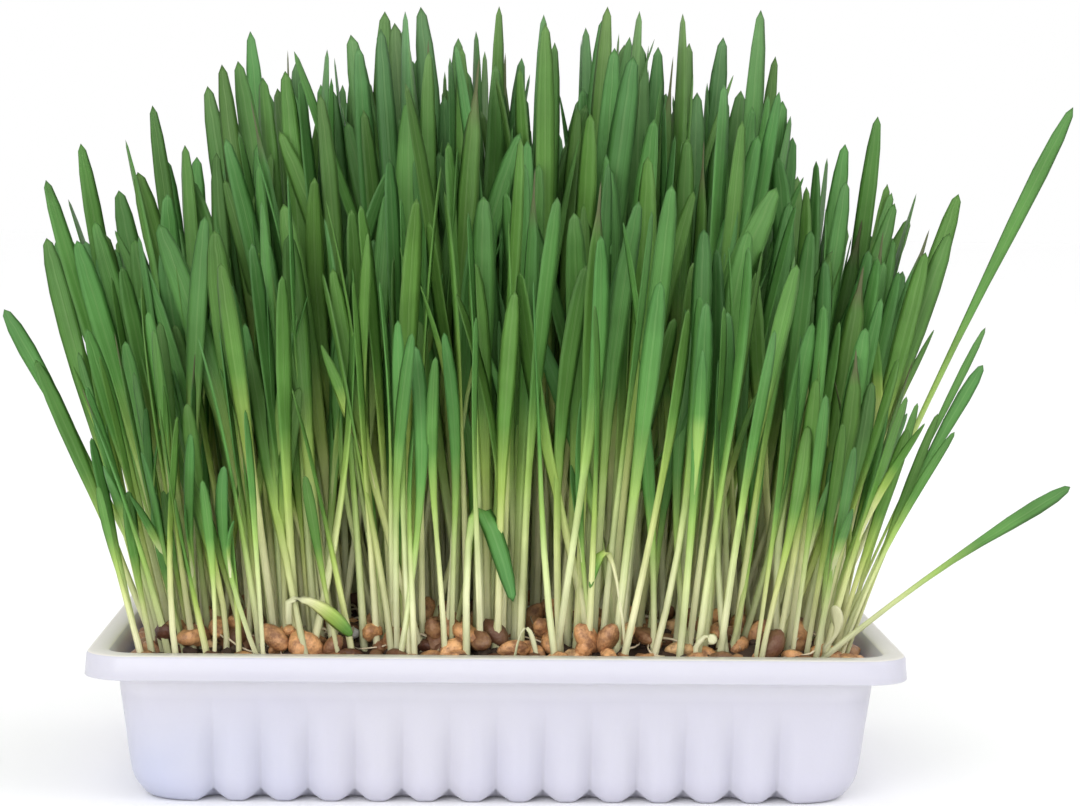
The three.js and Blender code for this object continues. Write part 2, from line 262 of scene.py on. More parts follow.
# The same for the long shoots past the tray's ends, which are thinner low down
STRAY_SECTIONS = (
    (0, 0.36, 0.8, 0),
    (0.3, 0.27, 0.5, 0),
    (0.5, 0.3, 0.4, 0.1),
    (0.62, 0.42, 0.34, 0.25),
    (0.74, 0.7, 0.28, 0.3),
    (0.86, 0.86, 0.24, 0.25),
    (0.95, 0.7, 0.22, 0.2),
    (0.985, 0.42, 0.16, 0.1),
)
SHOOT_SIDES = 6

# A blade with a tone above this has a dry tip
DRY_TONE = 0.93

# A stem's height below its blade, and the section's share that it takes up
STEM_HEIGHT = 40
STEM_SECTION = 0.32
LONGEST_STEM = 0.38

# Extra shoots fill the bed between the source's. A few cross the others, or are young.
FILLER_SEED = 4471
FILLER_SPACING = 6.1
FILLER_JITTER = 2.9
FILLER_HALF_LENGTH = 83
FILLER_HALF_WIDTH = 59
FILLER_END_LEAN = 10
FILLER_FRONT_LEAN = 9
FILLER_LEAN = 10
FILLER_DROP = 30
FILLER_SHORTFALL = 5
FILLER_FACING = 1.15
FILLER_WIDTHS = (0.62, 1.15)
CROSSING_SHARE = 0.22
SLANT_SHARE = 0.6
SLANT = 0.32
CROSSING_LEAN = 34
YOUNG_SHARE = 0.03
YOUNG_LENGTHS = (0.5, 0.75)
END_ZONE = 0.8
END_HOLD = 0.3

# A second leaf, on some shoots: where it leaves the stem, its length and its bend, as shares of
# the shoot's length, and its width as a share of the blade's
SECOND_LEAF_SHARE = 0.3
LEAF_STARTS = (0.34, 0.5)
LEAF_LENGTHS = (0.28, 0.45)
LEAF_BENDS = (0.03, 0.1)
LEAF_WIDTHS = (0.35, 0.6)

# How far a blade bends over, from which share of its length, and how much it sinks
SOURCE_CURL = 16
FILLER_CURL = 20
CURL_START = 0.45
CURL_SINK = 0.25
CURL_BACK = 0.6

# A short shoot is slimmer
SLIM_LENGTH = 105
SLIMMEST = 0.6

# The shoots stand thinner here, where the photograph shows the grains between them
THIN_MIDDLE = (28, -42)
THIN_REACH = (62, 24)
THINNED_SHARE = 0.55

# Weak and bent shoots, a loop of root and two husks: root, knee, tip, blade width and tone,
# which is low where they are yellow or white
BENT_FACING = 0.3
BENT_TWIST = 0.5
BENT_SHOOTS = (
    ((-43, -57, 30), (-50, -57.5, 62), (-57, -54, 104), 3.6, 0.3),
    ((-47.6, -58, 46.5), (-44, -59, 50), (-33.2, -59.5, 39), 3.7, -0.95),
    ((3.7, -58, 33), (6.4, -58.5, 49), (9.2, -58, 33), 1.1, -4.5),
    ((76, -50, 36), (80.5, -52, 40), (77.5, -53, 46), 2.6, -4.5),
    ((45.6, -56, 36.5), (48, -57, 41), (50, -56.5, 37.5), 2.8, -4.6),
    ((80.5, -46, 30), (88, -46, 54), (102, -45, 90), 2, 0.3),
    ((79, -48, 30), (89, -48, 62), (105.5, -48, 86), 1.9, 0.2),
    ((-7, -56, 30), (-9, -57, 96), (3.5, -59, 47), 3.8, 0.5),
    ((-12, -50, 30), (-8, -50, 136), (1.5, -50, 88), 1.7, 0.1),
    ((30, -55, 30), (26, -56, 74), (21, -57, 50), 1.8, -0.8),
    ((-80, -30, 30), (-94, -22, 64), (-110.5, -18, 99), 3.6, 0.6),
)

# Shoots that stand out of the canopy's outline: root, tip and blade width
KNEE_SCATTER = 3
TALL_SHOOTS = (
    ((-50, 8, 30), (-61.3, 6, 179), 4.6),
    ((-24, 4, 30), (-28.2, 2, 184), 5),
    ((-21, 9, 30), (-23.8, 8, 180), 4.6),
    ((-9, 8, 30), (-10.2, 7, 178), 4.4),
    ((-3, 2, 30), (-0.3, 0, 185.5), 3.8),
    ((8, 8, 30), (10.8, 7, 184), 3.6),
    ((20, 6, 30), (25.6, 4, 183.5), 4.8),
    ((29, 3, 30), (34.7, 2, 176.5), 4.6),
    ((32, 9, 30), (39.2, 8, 176.5), 4.4),
    ((38, 5, 30), (46.6, 4, 177.3), 4.6),
    ((46, 8, 30), (55.2, 7, 179), 4.6),
    ((52, 3, 30), (63.9, 2, 185.5), 5.2),
    ((56, 8, 30), (68.3, 8, 174.5), 3.2),
    ((76, 8, 30), (94, 8, 160), 4.2),
    ((82, 4, 30), (113.5, 2, 141), 4.4),
    ((60, 6, 30), (72.5, 4, 154.5), 4.4),
    ((70, 2, 30), (85.5, 4, 153), 4.2),
    ((-34, 4, 30), (-41.1, 5, 165), 4.4),
    ((-29, 7, 30), (-35.7, 6, 171), 4.2),
    ((-70, 4, 30), (-85, 4, 160.5), 3.6),
    ((-80, 6, 30), (-102.5, 4, 151), 4.2),
    ((-82, -8, 30), (-109, -10, 128), 4.6),
)

# Shoots that show most at the front: root, tip's x and height, bow to one side, width and tone.
# Their tips lean forwards by the tilt.
FRONT_SEED = 77
FRONT_TILT = 7
FRONT_SHOOTS = (
    ((-54, -34), (-79, 132), 8, 5.4, 0.35),
    ((-35, -38), (-50, 137), 2, 4.8, 0.3),
    ((-70, -38), (-68, 134), -4, 4.2, 0.4),
    ((-25, -22), (-52, 154), 14, 4.4, 0.7),
    ((-46, -30), (-64, 152), 8, 4.2, 0.8),
    ((28, -46), (8, 109), 7, 3.4, 0.5),
    ((26, -40), (31, 131), -3, 5, -0.1),
    ((32, -34), (64, 142), -9, 6, 0.6),
    ((47, -40), (57, 132), -5, 5, 0.2),
    ((6, -34), (-3, 126), 9, 1.8, 0.9),
    ((66, -42), (72, 111), -6, 4, 0.1),
    ((-21, -44), (-19, 111), 0, 6.2, 0.55),
    ((1, -24), (9, 147), 2, 4.4, 0.6),
)

# The floor and the lights, in metres
FLOOR_RADIUS = 9
KEY_PLACE = (-0.6, -2, 0.5)
KEY_SIZE = 2
FILL_PLACE = (1.3, -0.7, 0.9)
FILL_SIZE = 1.4
LIGHT_AIM = (0, 0, 0.09)

# The camera, as worked out from the tray's rim and base in the photograph
IMAGE_WIDTH = 1080
FOCAL_PIXELS = 3050
SENSOR_WIDTH = 36
CAMERA_PLACE = (-10.2, -749.1, 140.1)
CAMERA_TURN = math.radians(1.6)
CAMERA_PITCH = math.radians(3.94)
CAMERA_ROLL = math.radians(0.63)


class Draw:
    """Repeatable random numbers, by the same rule as the part's source"""

    def __init__(self, seed):
        self.state = seed

    def unit(self):
        self.state = (self.state * 1664525 + 1013904223) % 4294967296
        return self.state / 4294967296

    def scatter(self, reach):
        return (self.unit() - 0.5) * 2 * reach

    def between(self, low, high):
        return low + (high - low) * self.unit()


def clamp(value, low, high):
    return max(low, min(high, value))


def blended(rows, share):
    """The values at a share, between rows that start with their own share."""
    if share <= rows[0][0]:
        return rows[0][1:]
    for low, high in zip(rows, rows[1:]):
        if share <= high[0]:
            part = (share - low[0]) / (high[0] - low[0])
            return tuple(a + (b - a) * part for a, b in zip(low[1:], high[1:]))
    return rows[-1][1:]


def finish_piece(bm, name, finishes, replaced=()):
    """Make the mesh an object in metres, with its materials, body and place in the part."""
    bmesh.ops.scale(bm, vec=(MM, MM, MM), verts=bm.verts)
    mesh = as_mesh(bm, name)
    for polygon in mesh.polygons:
        polygon.use_smooth = True
    for finish in finishes:
        mesh.materials.append(finish)
    piece = linked(name, mesh)
    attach(piece, "root")
    if replaced:
        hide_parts(*replaced)
    return piece


def linked(name, data):
    """A new object in the scene."""
    made = bpy.data.objects.new(name, data)
    bpy.context.scene.collection.objects.link(made)
    return made


def as_mesh(bm, name):
    mesh = bpy.data.meshes.new(name)
    bm.to_mesh(mesh)
    bm.free()
    return mesh


def extruded_ring(bm, edges):
    """Extrude a closed loop of edges, and give the new vertices in order and the new loop."""
    made = bmesh.ops.extrude_edge_only(bm, edges=edges)["geom"]
    fresh = {item for item in made if isinstance(item, bmesh.types.BMVert)}
    loop = [
        item
        for item in made
        if isinstance(item, bmesh.types.BMEdge) and all(v in fresh for v in item.verts)
    ]
    return fresh, loop


def add_copy(bm, template, place, tone=None):
    """Add a copy of a template mesh, with each of its points moved by place."""
    first = len(bm.verts)
    bm.from_mesh(template)
    bm.verts.ensure_lookup_table()
    layer = bm.verts.layers.float.get("tone")
    for vertex in bm.verts[first:]:
        vertex.co = place(vertex.co)
        if tone is not None:
            vertex[layer] = tone


# Tray


def tray_stations():
    """Places round the tray: a side's direction, its outside, and a place along it or a turn."""
    found = []
    for along, out, flutes in (
        ((1, 0), (0, -1), FRONT_FLUTES),
        ((0, 1), (1, 0), END_FLUTES),
        ((-1, 0), (0, 1), FRONT_FLUTES),
        ((0, -1), (-1, 0), END_FLUTES),
    ):
        for i in range(flutes + 1):
            middle = (i - flutes / 2) * FLUTE_PITCH
            for step in GROOVE_STEPS:
                depth = (1 - abs(step) / GROOVE_REACH) ** GROOVE_SHARPNESS
                found.append((along, out, middle + step, None, depth))
            if i < flutes:
                found.append((along, out, middle + FLUTE_PITCH / 2, None, 0))
        for i in range(CORNER_STEPS + 1):
            found.append((along, out, None, i / CORNER_STEPS * math.pi / 2, 0))
    return found


def tray_point(station, row):
    along, out, at, turn, depth = station
    inset, z, corner, groove, lift = row
    ends = (RIM_LENGTH / 2 - inset, RIM_WIDTH / 2 - inset)
    side, end = ends if out[0] else ends[::-1]
    if turn is None:
        u, v = at, side - depth * groove
    else:
        u, v = end - corner * (1 - math.sin(turn)), side - corner * (1 - math.cos(turn))
    return Vector((along[0] * u + out[0] * v, along[1] * u + out[1] * v, z + depth * lift))


def tray_mesh():
    """The formed sheet: a ring round the floor, extruded up inside, over the rim and down."""
    stations = tray_stations()
    bm = bmesh.new()
    key = bm.verts.layers.int.new("station")
    made = bmesh.ops.create_circle(bm, segments=len(stations), radius=1)
    for i, vertex in enumerate(made["verts"]):
        vertex[key] = i
        vertex.co = tray_point(stations[i], TRAY_SECTION[0])
    loop = bm.edges[:]
    bmesh.ops.edgeloop_fill(bm, edges=loop)
    for row in TRAY_SECTION[1:]:
        fresh, loop = extruded_ring(bm, loop)
        for vertex in fresh:
            vertex.co = tray_point(stations[vertex[key]], row)
    bmesh.ops.edgeloop_fill(bm, edges=loop)
    bmesh.ops.recalc_face_normals(bm, faces=bm.faces)
    return bm


# Bed


def bed_height(x, y):
    """The mat's height: lumps on a low mound that falls off towards the walls."""
    edge = max(abs(x) / BED_HALF_LENGTH, abs(y) / BED_HALF_WIDTH)
    mound = BED_MOUND * (1 - edge**BED_EDGE)
    lump = noise.noise(Vector((x, y, 0)) / BED_LUMP)
    fine_lump = noise.noise(Vector((x, y, 9)) / BED_FINE_LUMP)
    return BED_TOP + mound + BED_RELIEF * (lump + 0.5 * fine_lump)


def past_flats(x, y, half_length=BED_HALF_LENGTH, half_width=BED_HALF_WIDTH):
    """How far a place is past the lines along both sides at which the corners' arcs begin."""
    return max(0, abs(x) - half_length + BED_CORNER), max(0, abs(y) - half_width + BED_CORNER)


def drawn_in(x, y, share):
    """The place with what is past those lines made smaller, to a share of it."""
    over_x, over_y = past_flats(x, y)
    inner_x = x - math.copysign(over_x * (1 - share), x)
    return inner_x, y - math.copysign(over_y * (1 - share), y)


def inside_bed(x, y, room=0):
    """The place, or the nearest that is inside the bed's rounded outline by some room."""
    over = math.hypot(*past_flats(x, y))
    if over > BED_CORNER - room:
        return drawn_in(x, y, (BED_CORNER - room) / over)
    return x, y


def mat_mesh():
    bm = bmesh.new()
    columns, rows = BED_CELLS
    bmesh.ops.create_grid(bm, x_segments=columns, y_segments=rows, size=1)
    bmesh.ops.scale(bm, vec=(BED_HALF_LENGTH, BED_HALF_WIDTH, 1), verts=bm.verts)
    for vertex in bm.verts:
        x, y = vertex.co.xy
        over = past_flats(x, y)
        if min(over) > 0:
            x, y = drawn_in(x, y, max(over) / math.hypot(*over))
        vertex.co = (x, y, bed_height(x, y))
    rim = [edge for edge in bm.edges if edge.is_boundary]
    fresh, loop = extruded_ring(bm, rim)
    for vertex in fresh:
        vertex.co.z = BED_UNDERSIDE
    bmesh.ops.edgeloop_fill(bm, edges=loop)
    bmesh.ops.recalc_face_normals(bm, faces=bm.faces)
    return bm


def grain_template():
    """A wheat grain: a spindle with blunt ends and a crease along one side."""
    bm = bmesh.new()
    bmesh.ops.create_uvsphere(bm, u_segments=8, v_segments=7, radius=1)
    level = Matrix.Rotation(math.pi / 2, 3, "Y")
    bmesh.ops.rotate(bm, cent=(0, 0, 0), matrix=level, verts=bm.verts)
    for vertex in bm.verts:
        taper = 1 - 0.22 * abs(vertex.co.x) ** 2 - 0.1 * vertex.co.x
        vertex.co.y *= taper
        vertex.co.z *= taper
        if vertex.co.z < -0.3 and abs(vertex.co.y) < 0.2:
            vertex.co.z *= 0.6
    bmesh.ops.scale(bm, vec=GRAIN_SIZE, verts=bm.verts)
    return as_mesh(bm, "grain_template")


def turned(turn, centre, size=1):
    """A place for a template: turned, scaled and moved to centre."""
    matrix = Matrix.Translation(centre) @ turn.to_matrix().to_4x4() @ Matrix.Scale(size, 4)
    return lambda point: matrix @ point


def grains_mesh(draw, tufts):
    template = grain_template()
    bm = bmesh.new()
    bm.verts.layers.float.new("tone")

    def lay(x, y, lift, heading, tilt, scale=1):
        x, y = inside_bed(x, y, GRAIN_ROOM)
        centre = Vector((x, y, bed_height(x, y) + lift))
        turn = Euler((draw.scatter(math.pi), tilt, heading))
        size = scale * draw.between(*GRAIN_SCALES)
        add_copy(bm, template, turned(turn, centre, size), draw.unit())

    for row in range(GRAIN_ROWS):
        for column in range(GRAIN_COLUMNS):
            x = ((column + 0.5) / GRAIN_COLUMNS * 2 - 1) * BED_HALF_LENGTH
            x += draw.scatter(GRAIN_JITTER)
            y = ((row + 0.5) / GRAIN_ROWS * 2 - 1) * BED_HALF_WIDTH + draw.scatter(GRAIN_JITTER)
            lay(x, y, GRAIN_LIFT, draw.scatter(math.pi), draw.scatter(GRAIN_TILT))
    for _ in range(PILED_GRAINS):
        x = draw.scatter(BED_HALF_LENGTH - 8)
        y = (2 * draw.unit() ** PILE_TO_FRONT - 1) * (BED_HALF_WIDTH - 5)
        lift = draw.between(*PILE_LIFTS)
        lay(x, y, lift, draw.scatter(math.pi), draw.scatter(PILE_TILT), PILE_SCALE)
    for _ in range(EDGE_GRAINS):
        x = draw.scatter(BED_HALF_LENGTH)
        y = draw.scatter(BED_HALF_WIDTH)
        outwards = max(abs(x) / BED_HALF_LENGTH, abs(y) / BED_HALF_WIDTH)
        lift = draw.between(*EDGE_LIFTS)
        lay(x / outwards, y / outwards, lift, draw.scatter(math.pi), EDGE_TILT)
    for tuft in tufts:
        x = tuft.x + TUFT_GRAIN_RADIUS * math.cos(tuft.column)
        y = tuft.y + TUFT_GRAIN_RADIUS * math.sin(tuft.column)
        lay(x, y, 0.8, tuft.column + 1, 0.25)
    bpy.data.meshes.remove(template)
    return bm


def crumbs_mesh(draw):
    """Crumbs of soil between the grains."""
    bm = bmesh.new()
    for _ in range(CRUMBS):
        x, y = inside_bed(draw.scatter(BED_HALF_LENGTH), draw.scatter(BED_HALF_WIDTH), CRUMB_ROOM)
        size = draw.between(0.5, 1) ** 2 * CRUMB_SIZE
        made = bmesh.ops.create_icosphere(bm, subdivisions=1, radius=size)["verts"]
        for vertex in made:
            vertex.co *= 1 + 0.35 * noise.noise(vertex.co * 0.9 + Vector((x, y, 0)))
            vertex.co.z *= 0.75
        bmesh.ops.translate(bm, vec=(x, y, bed_height(x, y) + size * 0.35), verts=made)
    return bm


def thread_template(sides, rings):
    """A closed thread one unit long, with a radius of one, up the z axis."""
    bm = bmesh.new()
    bmesh.ops.create_circle(bm, segments=sides, radius=1)
    loop = bm.edges[:]
    bmesh.ops.edgeloop_fill(bm, edges=loop)
    for i in range(1, rings + 1):
        fresh, loop = extruded_ring(bm, loop)
        for vertex in fresh:
            vertex.co.z = i / rings
    bmesh.ops.edgeloop_fill(bm, edges=loop)
    bmesh.ops.recalc_face_normals(bm, faces=bm.faces)
    return as_mesh(bm, "thread_template")


def rootlet_place(x, y, heading, length, rise, curl, radius):
    """A place for the thread template: a root that starts at x, y and arches over the bed."""

    def place(point):
        share = point.z
        turn = heading + curl * share
        far_x = clamp(x + length * share * math.cos(turn), -BED_HALF_LENGTH, BED_HALF_LENGTH)
        far_y = clamp(y + length * share * math.sin(turn), -BED_HALF_WIDTH, BED_HALF_WIDTH)
        arch = math.sin(math.pi * share) * rise
        thin = radius * (1 - 0.6 * share)
        aside = Vector((-math.sin(turn), math.cos(turn), 0)) * point.x * thin
        return Vector((far_x, far_y, bed_height(far_x, far_y) + 1.2 + arch + point.y * thin)) + aside

    return place


def rootlets_mesh(draw):
    """Pale roots that curl over the grains."""
    template = thread_template(ROOTLET_SIDES, ROOTLET_RINGS)
    bm = bmesh.new()
    for _ in range(ROOTLETS):
        x = draw.scatter(BED_HALF_LENGTH - 8)
        y = draw.scatter(BED_HALF_WIDTH - 6)
        heading = draw.scatter(math.pi)
        length = draw.between(*ROOTLET_LENGTHS)
        rise = draw.between(*ROOTLET_RISES)
        curl = draw.scatter(ROOTLET_CURL)
        radius = draw.between(*ROOTLET_RADII)
        add_copy(bm, template, rootlet_place(x, y, heading, length, rise, curl, radius))
    bmesh.ops.recalc_face_normals(bm, faces=bm.faces)
    bpy.data.meshes.remove(template)
    return bm


def perlite_mesh(draw):
    bm = bmesh.new()
    for _ in range(PERLITE_BITS):
        x = draw.scatter(BED_HALF_LENGTH - 12)
        y = draw.scatter(BED_HALF_WIDTH - 10)
        size = draw.between(*PERLITE_SIZES)
        made = bmesh.ops.create_icosphere(bm, subdivisions=2, radius=size)["verts"]
        for vertex in made:
            vertex.co *= 1 + 0.4 * noise.noise(vertex.co * 1.3 + Vector((x, y, 5)))
        bmesh.ops.translate(bm, vec=(x, y, bed_height(x, y) + 2.1), verts=made)
    return bm


# Tufts


class Tuft:
    """One tuft's place, its share of the canopy, and the curves of its shoots."""

    def __init__(self, draw, row, column, count):
        self.row = row
        self.column = column
        self.name = f"tuft_{row + 1}_{column + 1}"
        self.pitch = ROW_SPAN / (count - 1)
        self.end = (column == count - 1) - (column == 0)
        self.side = (row == len(ROW_TUFTS) - 1) - (row == 0)
        self.x = (column / (count - 1) - 0.5) * ROW_SPAN + draw.scatter(TUFT_JITTER)
        self.y = (row - (len(ROW_TUFTS) - 1) / 2) * ROW_PITCH + draw.scatter(TUFT_JITTER)
        self.shoots = []


def canopy(x, y):
    step = (x / END_X) ** END_STEEPNESS
    drop = END_DROP * step / (1 + step) + FRONT_DROP * (y / FRONT_Y) ** 2
    return max(SHORTEST, TALLEST - drop)


def spread(height):
    return 1 + SPLAY * height / FULL_HEIGHT


def reach(pitch, outer_lean, height, width):
    half = (pitch / 2 - TUFT_JITTER) * spread(height) - width / 2 - CELL_GAP
    lean = outer_lean * height / FULL_HEIGHT
    return lean / 2, half + abs(lean) / 2


def sway(draw, root, pitch, outer_lean, length, width):
    low_half = reach(pitch, outer_lean, 0, width)[1]
    middle, half = reach(pitch, outer_lean, length, width)
    share = clamp(root / low_half + draw.scatter(TIP_SCATTER), -1, 1)
    return root, middle + share * half


def shoot_point(tuft, shoot, share):
    (root_x, tip_x), (root_y, tip_y), length = shoot
    height = share * length
    bent = max(0, share) ** LEAN_CURVE
    rooted = min(1, 1 + share * ROOT_GATHER)
    x = root_x * rooted * (1 - bent) + tip_x * bent
    y = root_y * rooted * (1 - bent) + tip_y * bent
    wider = spread(max(0, height))
    return Vector((tuft.x * wider + x, tuft.y * wider + y, BED_TOP + height))


def room_between(tuft, one, other):
    return min(
        (
            shoot_point(tuft, one, share)
            - shoot_point(tuft, other, min(1, share * one[2] / other[2]))
        ).length
        for share in ROOM_SHARES
    )


def source_shoot(draw, tuft, index, earlier):
    """One of the source's shoots: its curve, blade width, facing and twist."""
    angle = index * GOLDEN_ANGLE + tuft.column + tuft.row * 2
    radius = SHOOT_SPACING * math.sqrt(index + 0.5)
    root_x = radius * math.cos(angle)
    root_y = radius * math.sin(angle)
    length = canopy(tuft.x + root_x, tuft.y + root_y) + draw.scatter(HEIGHT_SCATTER)
    width = BLADE_WIDTH + draw.scatter(WIDTH_SCATTER)
    best, best_room = None, -1
    for _ in range(LEAN_TRIES):
        across = sway(draw, root_x, tuft.pitch, tuft.end * END_LEAN, length, width)
        along = sway(draw, root_y, ROW_PITCH, tuft.side * FRONT_LEAN, length, width)
        tried = (across, along, length)
        room = min((room_between(tuft, tried, other) for other in earlier), default=math.inf)
        if room > best_room:
            best, best_room = tried, room
    facing = draw.unit() * math.pi
    twist = draw.scatter(TWIST)
    return best, width, facing, twist


def shoot_template():
    """A closed stalk with a section at each share, whose map runs across and along the blade."""
    bm = bmesh.new()
    layer = bm.loops.layers.uv.new("blade")
    start = Matrix.Rotation(math.pi / SHOOT_SIDES, 4, "Z")
    bmesh.ops.create_circle(bm, segments=SHOOT_SIDES, radius=1, matrix=start)
    loop = bm.edges[:]
    for vertex in bm.verts:
        vertex.co.z = -1
    bmesh.ops.edgeloop_fill(bm, edges=loop)
    for share, *_ in SHOOT_SECTIONS:
        fresh, loop = extruded_ring(bm, loop)
        for vertex in fresh:
            vertex.co.z = share
    fresh, loop = extruded_ring(bm, loop)
    bmesh.ops.pointmerge(bm, verts=list(fresh), merge_co=(0, 0, 1))
    bmesh.ops.recalc_face_normals(bm, faces=bm.faces)
    widest = math.cos(math.pi / SHOOT_SIDES)
    for face in bm.faces:
        for corner in face.loops:
            point = corner.vert.co
            corner[layer].uv = (0.5 + 0.5 * point.x / widest, max(0, point.z))
    return as_mesh(bm, "shoot_template")


def slimmed(width, length):
    """A blade's width, which is less on a short shoot."""
    return width * clamp(length / SLIM_LENGTH, SLIMMEST, 1)


def stem_share(length):
    """The share of a shoot's length at which its stem ends."""
    return clamp(STEM_HEIGHT / length, STEM_SECTION, LONGEST_STEM)


def add_shoot(bm, template, centre, shape, tone, foot, stem=STEM_SECTION, sections=SHOOT_SECTIONS):
    """Bend a copy of the template along a centre line, in a shape of width, facing and twist."""
    width, facing, twist = shape
    widest = math.cos(math.pi / SHOOT_SIDES)
    frames = {}

    def frame_at(share):
        along = foot if share < 0 else share
        middle = centre(along)
        up = (centre(along + TANGENT_STEP) - centre(along - TANGENT_STEP)).normalized()
        turn = facing + twist * along
        side = Vector((math.cos(turn), math.sin(turn), 0))
        side = (side - up * side.dot(up)).normalized()
        back = up.cross(side)
        if share < stem:
            section = max(0, share) * STEM_SECTION / stem
        else:
            section = 1 - (1 - share) * (1 - STEM_SECTION) / (1 - stem)
        half, thickness, fold = blended(sections, section)
        return middle, side, back, half * width / 2, thickness, fold

    def place(point):
        share = round(point.z, 4)
        if share not in frames:
            frames[share] = frame_at(share)
        middle, side, back, half, thickness, fold = frames[share]
        if share >= 1:
            return middle
        across = point.x / widest
        depth = point.y * thickness + fold * half * (0.5 - abs(across))
        return middle + side * across * half + back * depth

    add_copy(bm, template, place, tone)


def with_curl(draw, centre, reach_aside, x):
    """A centre line whose upper part bends over to one side, but not out past the tray's ends."""
    curl = abs(draw.scatter(reach_aside))
    direction = draw.scatter(math.pi)
    aside = Vector((math.cos(direction), math.sin(direction), -CURL_SINK)) * curl
    if abs(x) > END_X and aside.x * x > 0:
        aside.x *= -CURL_BACK
    return lambda share: centre(share) + aside * max(0, share - CURL_START) ** 2


def filler_places(draw):
    """Roots of the extra shoots, on a loose triangular grid over the whole bed."""
    rise = FILLER_SPACING * math.sqrt(3) / 2
    rows = int(2 * FILLER_HALF_WIDTH / rise)
    columns = int(2 * FILLER_HALF_LENGTH / FILLER_SPACING)
    for row in range(rows + 1):
        for column in range(columns + 1):
            x = -FILLER_HALF_LENGTH + (column + 0.5 * (row % 2)) * FILLER_SPACING
            y = -FILLER_HALF_WIDTH + row * rise
            x = clamp(x + draw.scatter(FILLER_JITTER), -FILLER_HALF_LENGTH, FILLER_HALF_LENGTH)
            y = clamp(y + draw.scatter(FILLER_JITTER), -FILLER_HALF_WIDTH, FILLER_HALF_WIDTH)
            over = past_flats(x, y, FILLER_HALF_LENGTH, FILLER_HALF_WIDTH)
            across = (x - THIN_MIDDLE[0]) / THIN_REACH[0]
            along = (y - THIN_MIDDLE[1]) / THIN_REACH[1]
            thinned = across**2 + along**2 < 1 and draw.unit() < THINNED_SHARE
            if math.hypot(*over) < BED_CORNER and not thinned:
                yield x, y


def filler_line(draw, x, y):
    """The centre line and length of an extra shoot rooted at a place."""
    along = x / FILLER_HALF_LENGTH
    across = y / FILLER_HALF_WIDTH
    loose = CROSSING_LEAN if draw.unit() < CROSSING_SHARE else FILLER_LEAN
    loose_x = draw.scatter(loose)
    loose_y = draw.scatter(FILLER_LEAN)
    slant = draw.scatter(SLANT) if draw.unit() < SLANT_SHARE else 0
    if abs(along) > END_ZONE and loose_x * x > 0:
        loose_x *= END_HOLD
    if abs(along) > END_ZONE and slant * x > 0:
        slant *= END_HOLD
    lean_x = FILLER_END_LEAN * along**3 + loose_x
    lean_y = FILLER_FRONT_LEAN * across**3 + loose_y
    drift = (loose_x + slant * FULL_HEIGHT / 2) / spread(FULL_HEIGHT)
    length = canopy(max(abs(x), abs(x + drift)), y) - FILLER_SHORTFALL
    length += draw.scatter(HEIGHT_SCATTER) - FILLER_DROP * draw.unit() ** 2
    if draw.unit() < YOUNG_SHARE:
        length *= draw.between(*YOUNG_LENGTHS)
    length = max(SHORTEST * 0.7, length)
    tall = length / FULL_HEIGHT

    def centre(share):
        height = share * length
        bent = max(0, share) ** LEAN_CURVE * tall
        wider = spread(max(0, height))
        slanted = slant * max(0, height) * (1 - 0.5 * share)
        place_x = x * wider + lean_x * bent + slanted
        return Vector((place_x, y * wider + lean_y * bent, BED_TOP + height))

    return centre, length


def curve_over(start, middle, end, length):
    """A centre line that rises towards its middle point, bends over and ends at its end."""

    def centre(share):
        if share < 0:
            return Vector((start.x, start.y, start.z + share * length))
        return start.lerp(middle, share).lerp(middle.lerp(end, share), share)

    return centre


def bent_line(root, knee, tip):
    """The centre line and length of a shoot that bends over above its knee."""
    start, middle, end = (Vector(point) for point in (root, knee, tip))
    length = (middle - start).length + (end - middle).length
    return curve_over(start, middle, end, length), length


def front_shoot(root, tip, bow, width, tone):
    """A front shoot in the form of a bent one: root, knee, tip, width and tone."""
    x, y = root
    tip_x, height = tip
    knee = ((x + tip_x) / 2 + bow, y - FRONT_TILT / 3, (BALL_TOP + height) / 2)
    return (x, y, BALL_TOP), knee, (tip_x, y - FRONT_TILT, height), width, tone


def stray_line(tuft, root, tip, rise):
    """The centre line and length of a long shoot that arches out past the tray's end."""
    start = Vector((tuft.x + root[0], tuft.y + root[1], BED_TOP))
    end = Vector(tip)
    length = (end - start).length
    middle = start.lerp(end, 0.5)
    middle.z += 2 * rise * length
    return curve_over(start, middle, end, length), length


def root_ball(bm, template, tuft):
    """The ball of roots that the tuft stands on, with a lumpy side."""

    def place(point):
        radius = BALL_FOOT_RADIUS + (BALL_TOP_RADIUS - BALL_FOOT_RADIUS) * point.z
        height = BALL_FOOT + (BALL_TOP - BALL_FOOT) * point.z
        lump = abs(noise.noise(Vector((tuft.x + point.x, tuft.y + point.y, point.z * 3))))
        flat = radius * (1 - BALL_LUMP * lump)
        return Vector((tuft.x + point.x * flat, tuft.y + point.y * flat, height))

    add_copy(bm, template, place, 0)


def grown_tufts():
    """All tufts with the source's shoots, drawn in the source's order."""
    draw = Draw(SOURCE_SEED)
    tufts = [
        Tuft(draw, row, column, count)
        for row, count in enumerate(ROW_TUFTS)
        for column in range(count)
    ]
    for tuft in tufts:
        for index in range(SHOOTS_PER_TUFT):
            earlier = [shoot[0] for shoot in tuft.shoots]
            tuft.shoots.append(source_shoot(draw, tuft, index, earlier))
    return tufts


def nearest_tuft(tufts, x, y):
    return min(tufts, key=lambda tuft: math.hypot(tuft.x - x, tuft.y - y))


def shared_out(tufts, shoots):
    """The shoots, each of which starts with its root, listed by the name of the nearest tuft."""
    lists = {tuft.name: [] for tuft in tufts}
    for shoot in shoots:
        lists[nearest_tuft(tufts, *shoot[0][:2]).name].append(shoot)
    return lists


